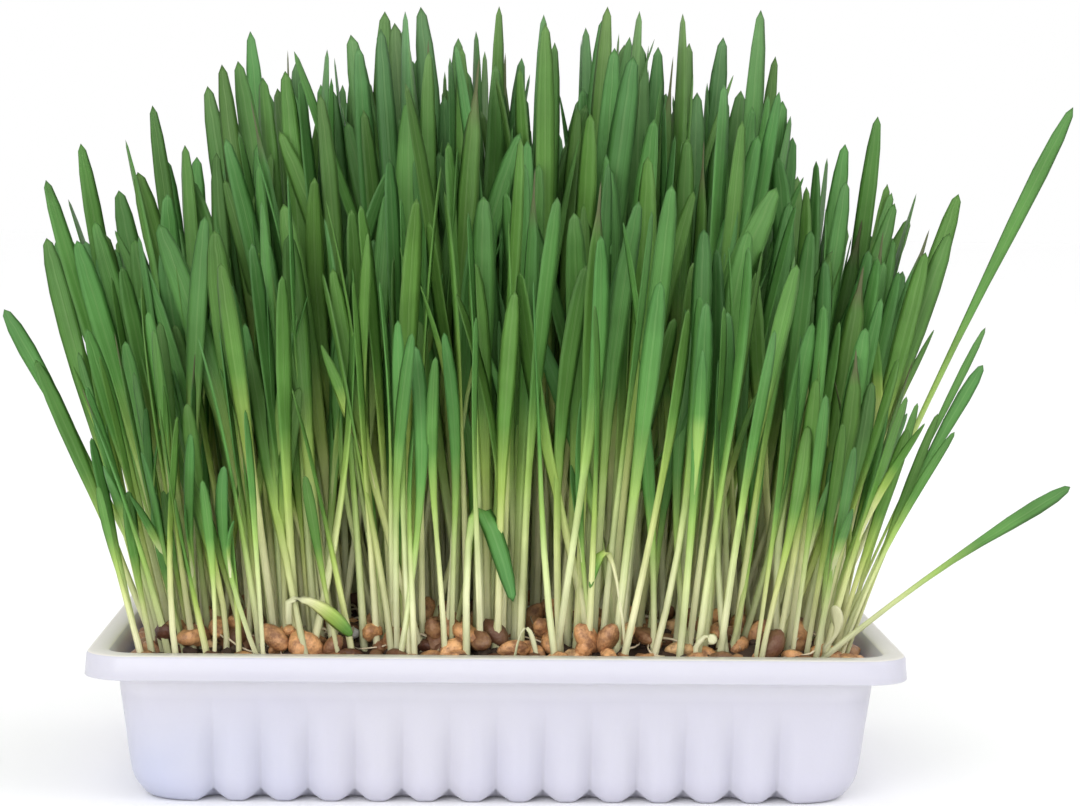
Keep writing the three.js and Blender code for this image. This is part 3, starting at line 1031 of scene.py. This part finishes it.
def tall_shoots(draw):
    """The tall shoots in the form of bent ones: root, knee, tip, width and tone."""
    shoots = []
    for root, tip, width in TALL_SHOOTS:
        knee = Vector(root).lerp(Vector(tip), 0.5)
        knee.x += draw.scatter(KNEE_SCATTER)
        shoots.append((root, knee, tip, width, draw.unit() * DRY_TONE))
    return shoots


# Finishes


class Finish:
    """A material's node tree, with one short call for each node."""

    def __init__(self, name):
        self.material = bpy.data.materials.new(name)
        self.material.use_nodes = True
        self.tree = self.material.node_tree
        self.tree.nodes.clear()
        self.place = self.add("TexCoord").outputs["Object"]

    def add(self, kind, inputs=(), **settings):
        node = self.tree.nodes.new("ShaderNode" + kind)
        for name, value in settings.items():
            setattr(node, name, value)
        for key, value in dict(inputs).items():
            if isinstance(value, bpy.types.NodeSocket):
                self.tree.links.new(value, node.inputs[key])
            else:
                node.inputs[key].default_value = value
        return node

    def ramp(self, factor, stops):
        node = self.add("ValToRGB", {"Fac": factor})
        elements = node.color_ramp.elements
        while len(elements) < len(stops):
            elements.new(1)
        for element, (position, colour) in zip(elements, stops):
            element.position = position
            element.color = (*colour, 1)
        return node.outputs["Color"]

    def maths(self, operation, first, second=0.5, third=0.5):
        inputs = {0: first, 1: second, 2: third}
        return self.add("Math", inputs, operation=operation).outputs["Value"]

    def mixed(self, factor, first, second, blend="MIX"):
        inputs = {0: factor, 6: first, 7: second}
        return self.add("Mix", inputs, data_type="RGBA", blend_type=blend).outputs[2]

    def noise(self, vector, scale, detail=3, roughness=0.5):
        inputs = {"Vector": vector, "Scale": scale, "Detail": detail, "Roughness": roughness}
        return self.add("TexNoise", inputs).outputs["Fac"]

    def spread(self, value, low, high, **inputs):
        """The value's place between low and high, held to the range from 0 to 1."""
        inputs = {"Value": value, "From Min": low, "From Max": high, **inputs}
        return self.add("MapRange", inputs).outputs["Result"]

    def relief(self, height, strength, distance):
        inputs = {"Height": height, "Strength": strength, "Distance": distance}
        return self.add("Bump", inputs).outputs["Normal"]

    def skin(self, colour, rough, normal, **inputs):
        inputs = {"Base Color": colour, "Roughness": rough, "Normal": normal, **inputs}
        return self.add("BsdfPrincipled", inputs).outputs["BSDF"]

    def output(self, shader):
        self.add("OutputMaterial", {"Surface": shader})
        return self.material


def toned(colour, share=1):
    return tuple(part * share for part in colour[:3])


def plastic_finish(colour):
    finish = Finish("tray_plastic")
    cloud = finish.noise(finish.place, 28, 2)
    tint = finish.mixed(cloud, colour, (*[c * 0.93 for c in colour[:2]], colour[2], 1))
    parts = finish.add("SeparateXYZ", {"Vector": finish.place}).outputs
    height = parts["Z"]
    # Painted shade: the plastic turns darker and bluer in cloudy patches low down on the front, most
    # towards the left end
    low = finish.spread(height, 0.026, 0.01)
    left = finish.spread(parts["X"], -0.035, -0.08, **{"To Min": 0.1, "To Max": 0.8})
    front = finish.spread(parts["Y"], 0, -0.03)
    area = finish.maths("MULTIPLY", low, finish.maths("MULTIPLY", left, front))
    amount = finish.maths("MULTIPLY", area, cloud)
    painted_shade_front_left = finish.mixed(amount, tint, (0.36, 0.42, 0.62, 1))
    skirt = finish.maths("GREATER_THAN", height, SKIRT_FOOT * MM)
    # Painted light: the wall just below the skirt's foot is lighter, to soften the rim's shadow there
    under = finish.spread(height, 0.0245, 0.029, **{"To Max": 0.75})
    painted_light_under_rim = finish.mixed(finish.maths("SUBTRACT", under, skirt), painted_shade_front_left, (0.78, 0.77, 0.86, 1))
    # Painted shade: the skirt is greyer, to hold back the key light that falls on it
    painted_shade_skirt = finish.mixed(finish.maths("MULTIPLY", skirt, 0.3), painted_light_under_rim, (0.4, 0.4, 0.42, 1))
    # Painted highlight: a warm cream band along the rim's top edge
    top = finish.maths("GREATER_THAN", height, (TRAY_HEIGHT - 0.25) * MM)
    painted_highlight_rim_top = finish.mixed(finish.maths("MULTIPLY", top, 0.7), painted_shade_skirt, (0.72, 0.68, 0.58, 1))
    pull = finish.noise(finish.place, 900, 2)
    rough = finish.maths("MULTIPLY_ADD", pull, 0.16, 0.26)
    inside = {
        "IOR": 1.49,
        "Subsurface Weight": 0.3,
        "Subsurface Scale": 0.004,
        "Subsurface Radius": (1, 1, 1.2),
    }
    return finish.output(finish.skin(painted_highlight_rim_top, rough, finish.relief(pull, 0.12, 0.0002), **inside))


def soil_finish(colour):
    finish = Finish("damp_soil")
    broad = finish.noise(finish.place, 140, 4)
    fine = finish.noise(finish.place, 1300, 5, 0.7)
    shade = finish.ramp(
        broad,
        (
            (0.25, toned(colour, 0.35)),
            (0.55, toned(colour)),
            (0.8, toned(colour, 2.1)),
        ),
    )
    speck = finish.mixed(finish.maths("POWER", fine, 3), shade, (0.2, 0.12, 0.07, 1))
    rough = finish.maths("MULTIPLY_ADD", broad, -0.35, 1)
    height = finish.maths("MULTIPLY_ADD", fine, 0.6, broad)
    return finish.output(finish.skin(speck, rough, finish.relief(height, 0.9, 0.0009)))


def grain_finish(colour):
    finish = Finish("swollen_grain")
    tone = finish.add("Attribute", attribute_name="tone").outputs["Fac"]
    shade = finish.ramp(
        tone,
        (
            (0, (0.07, 0.025, 0.015)),
            (0.25, toned(colour, 0.4)),
            (0.6, toned(colour)),
            (0.88, (0.78, 0.4, 0.17)),
            (1, (0.84, 0.58, 0.3)),
        ),
    )
    mottle = finish.noise(finish.place, 420, 4, 0.65)
    patch = finish.ramp(mottle, ((0.42, (0, 0, 0)), (0.62, (1, 1, 1))))
    stained = finish.mixed(finish.maths("MULTIPLY", patch, 0.7), shade, (0.12, 0.04, 0.02, 1))
    streak = finish.noise(finish.place, 1500, 3, 0.6)
    rough = finish.maths("MULTIPLY_ADD", mottle, 0.3, 0.3)
    return finish.output(finish.skin(stained, rough, finish.relief(streak, 0.6, 0.0006)))


def pale_finish(name, colour, scale, roughness):
    """A pale mottled finish, for rootlets and perlite."""
    finish = Finish(name)
    mottle = finish.noise(finish.place, scale, 3)
    shade = finish.mixed(mottle, (*colour, 1), (*toned(colour, 0.62), 1))
    return finish.output(finish.skin(shade, roughness, finish.relief(mottle, 0.4, 0.0003)))


def grass_finish(settings):
    finish = Finish("living_grass")
    height = finish.add("SeparateXYZ", {"Vector": finish.place}).outputs["Z"]
    tone = finish.add("Attribute", attribute_name="tone").outputs["Fac"]
    blade = finish.add("UVMap", uv_map="blade").outputs["UV"]
    map_parts = finish.add("SeparateXYZ", {"Vector": blade}).outputs
    bed = BED_TOP * MM
    risen = finish.add(
        "MapRange",
        {"Value": height, "From Min": bed, "From Max": bed + settings.green_height},
        clamp=False,
    ).outputs["Result"]
    grown = finish.maths("MULTIPLY", map_parts["Y"], 1.5)
    shift = finish.maths("MULTIPLY_ADD", tone, 0.3, -0.15)
    level = finish.maths("ADD", finish.maths("MAXIMUM", risen, grown), shift)
    ramp = finish.ramp(
        finish.maths("MULTIPLY", level, 0.5),
        (
            (0, (1, 0.96, 0.68)),
            (0.13, toned(settings.stem_colour)),
            (0.25, (0.83, 0.9, 0.42)),
            (0.35, toned(settings.young_colour)),
            (0.48, toned(settings.blade_colour)),
            (0.75, (0.125, 0.31, 0.08)),
            (1, (0.24, 0.42, 0.19)),
        ),
    )
    vein_place = finish.add(
        "CombineXYZ",
        {
            "X": finish.maths("MULTIPLY", map_parts["X"], 22),
            "Y": finish.maths("MULTIPLY", map_parts["Y"], 2.5),
            "Z": finish.maths("MULTIPLY", tone, 40),
        },
    ).outputs["Vector"]
    vein = finish.noise(vein_place, 1, 2)
    streaks = finish.ramp(vein, ((0.3, (0.72, 0.76, 0.62)), (0.68, (1, 1, 1))))
    veined = finish.mixed(0.7, ramp, streaks, "MULTIPLY")
    hue = finish.ramp(
        finish.maths("FRACT", finish.maths("MULTIPLY", tone, 7.3)),
        ((0, (1, 0.9, 0.66)), (0.3, (0.92, 0.9, 0.76)), (0.65, (0.8, 0.95, 0.95)), (1, (0.92, 1, 1))),
    )
    shade = finish.ramp(
        finish.maths("FRACT", finish.maths("MULTIPLY", tone, 17.9)),
        ((0, (0.72,) * 3), (0.5, (1,) * 3), (1, (1,) * 3)),
    )
    patches = finish.noise(finish.place, 75, 2)
    clouds = finish.ramp(patches, ((0.35, (0.78, 0.8, 0.74)), (0.65, (1, 1, 1))))
    tinted = finish.mixed(finish.maths("MULTIPLY", level, 0.75), veined, hue, "MULTIPLY")
    varied = finish.mixed(1, finish.mixed(1, tinted, shade, "MULTIPLY"), clouds, "MULTIPLY")
    off_middle = finish.maths("ABSOLUTE", finish.maths("SUBTRACT", map_parts["X"], 0.5))
    rib = finish.maths("LESS_THAN", off_middle, 0.05)
    ribbed = finish.mixed(finish.maths("MULTIPLY", rib, 0.07), varied, (0.5, 0.66, 0.3, 1))
    at_tip = finish.spread(map_parts["Y"], 0.88, 0.94)
    dry = finish.maths("MULTIPLY", at_tip, finish.maths("GREATER_THAN", tone, DRY_TONE))
    tipped = finish.mixed(finish.maths("MULTIPLY", dry, 0.8), ribbed, (0.13, 0.12, 0.06, 1))
    rough = finish.maths("MULTIPLY_ADD", vein, 0.2, 0.36)
    normal = finish.relief(vein, 0.5, 0.0003)
    skin = finish.skin(tipped, rough, normal, **{"Specular IOR Level": 0.35})
    glow = finish.add("BsdfTranslucent", {"Color": tipped, "Normal": normal}).outputs["BSDF"]
    both = finish.add("MixShader", {0: settings.glow, 1: skin, 2: glow})
    return finish.output(both.outputs["Shader"])


# Settings


def colour_property(name, description, colour):
    return bpy.props.FloatVectorProperty(
        name=name, description=description, subtype="COLOR", size=4, default=(*colour, 1)
    )


class TraySettings(bpy.types.PropertyGroup):
    """The tray's plastic"""

    plastic_colour: colour_property(
        "Plastic colour", "Colour of the tray's plastic", (0.55, 0.54, 0.605)
    )


class BedSettings(bpy.types.PropertyGroup):
    """The soil and the grains on it"""

    soil_colour: colour_property("Soil colour", "Middle colour of the damp soil", (0.05, 0.03, 0.022))
    grain_colour: colour_property(
        "Grain colour", "Commonest colour of the sprouted grains", (0.62, 0.32, 0.145)
    )


class GrassSettings(bpy.types.PropertyGroup):
    """The shoots"""

    blade_colour: colour_property("Blade colour", "Colour of a grown blade", (0.165, 0.39, 0.085))
    young_colour: colour_property("Young colour", "Colour just above the pale stems", (0.5, 0.7, 0.18))
    stem_colour: colour_property("Stem colour", "Colour of the pale stems", (0.99, 0.98, 0.63))
    green_height: bpy.props.FloatProperty(
        name="Green height",
        description="Height above the bed at which the blades are fully green",
        unit="LENGTH",
        default=0.085,
    )
    glow: bpy.props.FloatProperty(
        name="Glow",
        description="Share of the light that passes through a blade",
        subtype="FACTOR",
        min=0,
        max=1,
        default=0.2,
    )


class StageSettings(bpy.types.PropertyGroup):
    """The floor and the studio light"""

    key_power: bpy.props.FloatProperty(
        name="Key light",
        description="Power of the soft light at the front left",
        unit="POWER",
        default=32,
    )
    fill_power: bpy.props.FloatProperty(
        name="Fill light",
        description="Power of the soft light at the right",
        unit="POWER",
        default=5,
    )
    sky: bpy.props.FloatProperty(
        name="Sky",
        description="Strength of the even white surroundings",
        default=1.0,
    )


# Operators


class WHEATGRASS_OT_tray(bpy.types.Operator):
    """Make the fluted tray"""

    bl_idname = "wheatgrass.tray"
    bl_label = "Make Tray"

    def execute(self, context):
        finish = plastic_finish(tuple(context.scene.wheatgrass_tray.plastic_colour))
        finish_piece(tray_mesh(), "tray_shell", [finish], ["tray"])
        return {"FINISHED"}


class WHEATGRASS_OT_bed(bpy.types.Operator):
    """Make the soil, the mat of roots and the sprouted grains"""

    bl_idname = "wheatgrass.bed"
    bl_label = "Make Bed"

    def execute(self, context):
        settings = context.scene.wheatgrass_bed
        soil = soil_finish(tuple(settings.soil_colour))
        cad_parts["soil"].data.materials.clear()
        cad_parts["soil"].data.materials.append(soil)
        draw = Draw(BED_SEED)
        grain = grain_finish(tuple(settings.grain_colour))
        grains = grains_mesh(draw, grown_tufts())
        finish_piece(grains, "sprouted_grains", [grain], ["grain_bed"])
        finish_piece(mat_mesh(), "root_mat", [soil])
        finish_piece(crumbs_mesh(draw), "soil_crumbs", [soil])
        root = pale_finish("pale_root", (0.78, 0.66, 0.46), 900, 0.5)
        finish_piece(rootlets_mesh(draw), "rootlets", [root])
        perlite = pale_finish("perlite", (0.85, 0.83, 0.8), 700, 0.8)
        finish_piece(perlite_mesh(draw), "perlite_bits", [perlite])
        return {"FINISHED"}


class WHEATGRASS_OT_tufts(bpy.types.Operator):
    """Grow the tufts of shoots"""

    bl_idname = "wheatgrass.tufts"
    bl_label = "Grow Tufts"

    def execute(self, context):
        finish = grass_finish(context.scene.wheatgrass_grass)
        tufts = grown_tufts()
        draw = Draw(FILLER_SEED)
        fillers = shared_out(tufts, ([root] for root in filler_places(draw)))
        bent = shared_out(tufts, [*BENT_SHOOTS, *tall_shoots(draw)])
        front = shared_out(tufts, (front_shoot(*shoot) for shoot in FRONT_SHOOTS))
        front_draw = Draw(FRONT_SEED)
        template = shoot_template()
        ball = thread_template(BALL_SIDES, BALL_RINGS)
        for tuft in tufts:
            bm = bmesh.new()
            bm.verts.layers.float.new("tone")
            bm.loops.layers.uv.new("blade")
            self.add_source_shoots(bm, template, tuft, draw)
            self.add_fillers(bm, template, fillers[tuft.name], draw)
            self.add_strays(bm, template, tuft, draw)
            self.add_bent_shoots(bm, template, bent[tuft.name], draw)
            self.add_bent_shoots(bm, template, front[tuft.name], front_draw)
            root_ball(bm, ball, tuft)
            finish_piece(bm, "shoots_" + tuft.name[5:], [finish], [tuft.name])
        bpy.data.meshes.remove(template)
        bpy.data.meshes.remove(ball)
        return {"FINISHED"}

    def add_source_shoots(self, bm, template, tuft, draw):
        for shoot, width, facing, twist in tuft.shoots:
            length = shoot[2]
            centre = with_curl(
                draw, lambda share, shoot=shoot: shoot_point(tuft, shoot, share), SOURCE_CURL, tuft.x
            )
            shape = (slimmed(width, length), facing, twist)
            tone = self.add_upright(bm, template, centre, shape, length, draw)
            if draw.unit() < SECOND_LEAF_SHARE:
                self.add_second_leaf(bm, template, centre, length, tone, draw)

    def add_fillers(self, bm, template, places, draw):
        for [(x, y)] in places:
            centre, length = filler_line(draw, x, y)
            curled = with_curl(draw, centre, FILLER_CURL, x)
            width = slimmed(BLADE_WIDTH * draw.between(*FILLER_WIDTHS), length)
            shape = (width, draw.scatter(FILLER_FACING), draw.scatter(1))
            tone = self.add_upright(bm, template, curled, shape, length, draw)
            if draw.unit() < SECOND_LEAF_SHARE:
                self.add_second_leaf(bm, template, curled, length, tone, draw)

    def add_upright(self, bm, template, centre, shape, length, draw):
        tone = draw.unit()
        sections = DRY_SECTIONS if tone > DRY_TONE else SHOOT_SECTIONS
        foot = -ROOT_DEPTH / length
        add_shoot(bm, template, centre, shape, tone, foot, stem_share(length), sections)
        return tone

    def add_second_leaf(self, bm, template, centre, length, tone, draw):
        """A narrower leaf that leaves the stem below the blade."""
        start = draw.between(*LEAF_STARTS)
        reach_up = draw.between(*LEAF_LENGTHS)
        heading = draw.scatter(math.pi)
        bend = length * draw.between(*LEAF_BENDS)
        aside = Vector((math.cos(heading), math.sin(heading), 0)) * bend

        def leaf(share):
            return centre(start + reach_up * share) + aside * max(0, share) ** 1.6

        width = BLADE_WIDTH * draw.between(*LEAF_WIDTHS)
        shape = (width, draw.scatter(math.pi / 2), draw.scatter(1))
        add_shoot(bm, template, leaf, shape, min(tone, DRY_TONE), -0.02, sections=LEAF_SECTIONS)

    def add_bent_shoots(self, bm, template, shoots, draw):
        for root, knee, tip, width, tone in shoots:
            centre, length = bent_line(root, knee, tip)
            shape = (width, draw.scatter(BENT_FACING), draw.scatter(BENT_TWIST))
            add_shoot(bm, template, centre, shape, tone, -ROOT_DEPTH / length)

    def add_strays(self, bm, template, tuft, draw):
        for end, row, root, tip, rise, slimness in STRAYS:
            if (end, row) == (tuft.end, tuft.row):
                centre, length = stray_line(tuft, root, tip, rise)
                shape = (BLADE_WIDTH * slimness, STRAY_FACING, 0)
                tone = draw.unit() * DRY_TONE
                foot = -ROOT_DEPTH / length
                add_shoot(bm, template, centre, shape, tone, foot, sections=STRAY_SECTIONS)


class WHEATGRASS_OT_stage(bpy.types.Operator):
    """Set up the floor, the studio light and the camera"""

    bl_idname = "wheatgrass.stage"
    bl_label = "Set Stage"

    def execute(self, context):
        settings = context.scene.wheatgrass_stage
        self.make_floor()
        self.make_light("key_light", KEY_PLACE, KEY_SIZE, settings.key_power)
        self.make_light("fill_light", FILL_PLACE, FILL_SIZE, settings.fill_power)
        world = bpy.data.worlds.new("studio")
        world.use_nodes = True
        world.node_tree.nodes["Background"].inputs["Color"].default_value = (1, 1, 1, 1)
        world.node_tree.nodes["Background"].inputs["Strength"].default_value = settings.sky
        context.scene.world = world
        context.scene.view_settings.view_transform = "Standard"
        self.place_camera(context.scene)
        return {"FINISHED"}

    def make_floor(self):
        bm = bmesh.new()
        bmesh.ops.create_circle(bm, cap_ends=True, segments=64, radius=FLOOR_RADIUS)
        mesh = as_mesh(bm, "floor")
        finish = Finish("pale_floor")
        shade = finish.mixed(finish.noise(finish.place, 3), (1, 1, 1, 1), (0.99, 0.99, 0.99, 1))
        shader = finish.add("BsdfPrincipled", {"Base Color": shade, "Roughness": 0.8})
        mesh.materials.append(finish.output(shader.outputs["BSDF"]))
        linked("floor", mesh)

    def make_light(self, name, place, size, power):
        light = bpy.data.lights.new(name, "AREA")
        light.shape = "DISK"
        light.size = size
        light.energy = power
        lamp = linked(name, light)
        lamp.location = place
        aim = Vector(LIGHT_AIM) - Vector(place)
        lamp.rotation_euler = aim.to_track_quat("-Z", "Y").to_euler()

    def place_camera(self, scene):
        lens = bpy.data.cameras.new("camera")
        lens.sensor_width = SENSOR_WIDTH
        lens.lens = FOCAL_PIXELS * SENSOR_WIDTH / IMAGE_WIDTH
        camera = linked("camera", lens)
        turn = Matrix.Rotation(-CAMERA_TURN, 4, "Z")
        pitch = Matrix.Rotation(math.pi / 2 - CAMERA_PITCH, 4, "X")
        roll = Matrix.Rotation(CAMERA_ROLL, 4, "Z")
        camera.matrix_world = Matrix.Translation(Vector(CAMERA_PLACE) * MM) @ turn @ pitch @ roll
        scene.camera = camera


class WHEATGRASS_PT_panel(bpy.types.Panel):
    """Lists the steps that make the wheatgrass tray"""

    bl_idname = "WHEATGRASS_PT_panel"
    bl_label = "Wheatgrass Tray"
    bl_space_type = "VIEW_3D"
    bl_region_type = "UI"
    bl_category = "Wheatgrass"

    def draw(self, context):
        for operator in OPERATORS:
            self.layout.operator(operator.bl_idname)
        for name in SETTINGS:
            group = getattr(context.scene, name)
            for key in group.__annotations__:
                self.layout.prop(group, key)


OPERATORS = (
    WHEATGRASS_OT_tray,
    WHEATGRASS_OT_bed,
    WHEATGRASS_OT_tufts,
    WHEATGRASS_OT_stage,
)
SETTINGS = {
    "wheatgrass_tray": TraySettings,
    "wheatgrass_bed": BedSettings,
    "wheatgrass_grass": GrassSettings,
    "wheatgrass_stage": StageSettings,
}


def register():
    for made in (*SETTINGS.values(), *OPERATORS, WHEATGRASS_PT_panel):
        bpy.utils.register_class(made)
    for name, group in SETTINGS.items():
        setattr(bpy.types.Scene, name, bpy.props.PointerProperty(type=group))


def unregister():
    for name in SETTINGS:
        delattr(bpy.types.Scene, name)
    for made in (WHEATGRASS_PT_panel, *reversed(OPERATORS), *SETTINGS.values()):
        bpy.utils.unregister_class(made)


def main():
    register()
    bpy.ops.wheatgrass.tray()
    bpy.ops.wheatgrass.bed()
    bpy.ops.wheatgrass.tufts()
    bpy.ops.wheatgrass.stage()


if __name__ == "__main__":
    main()
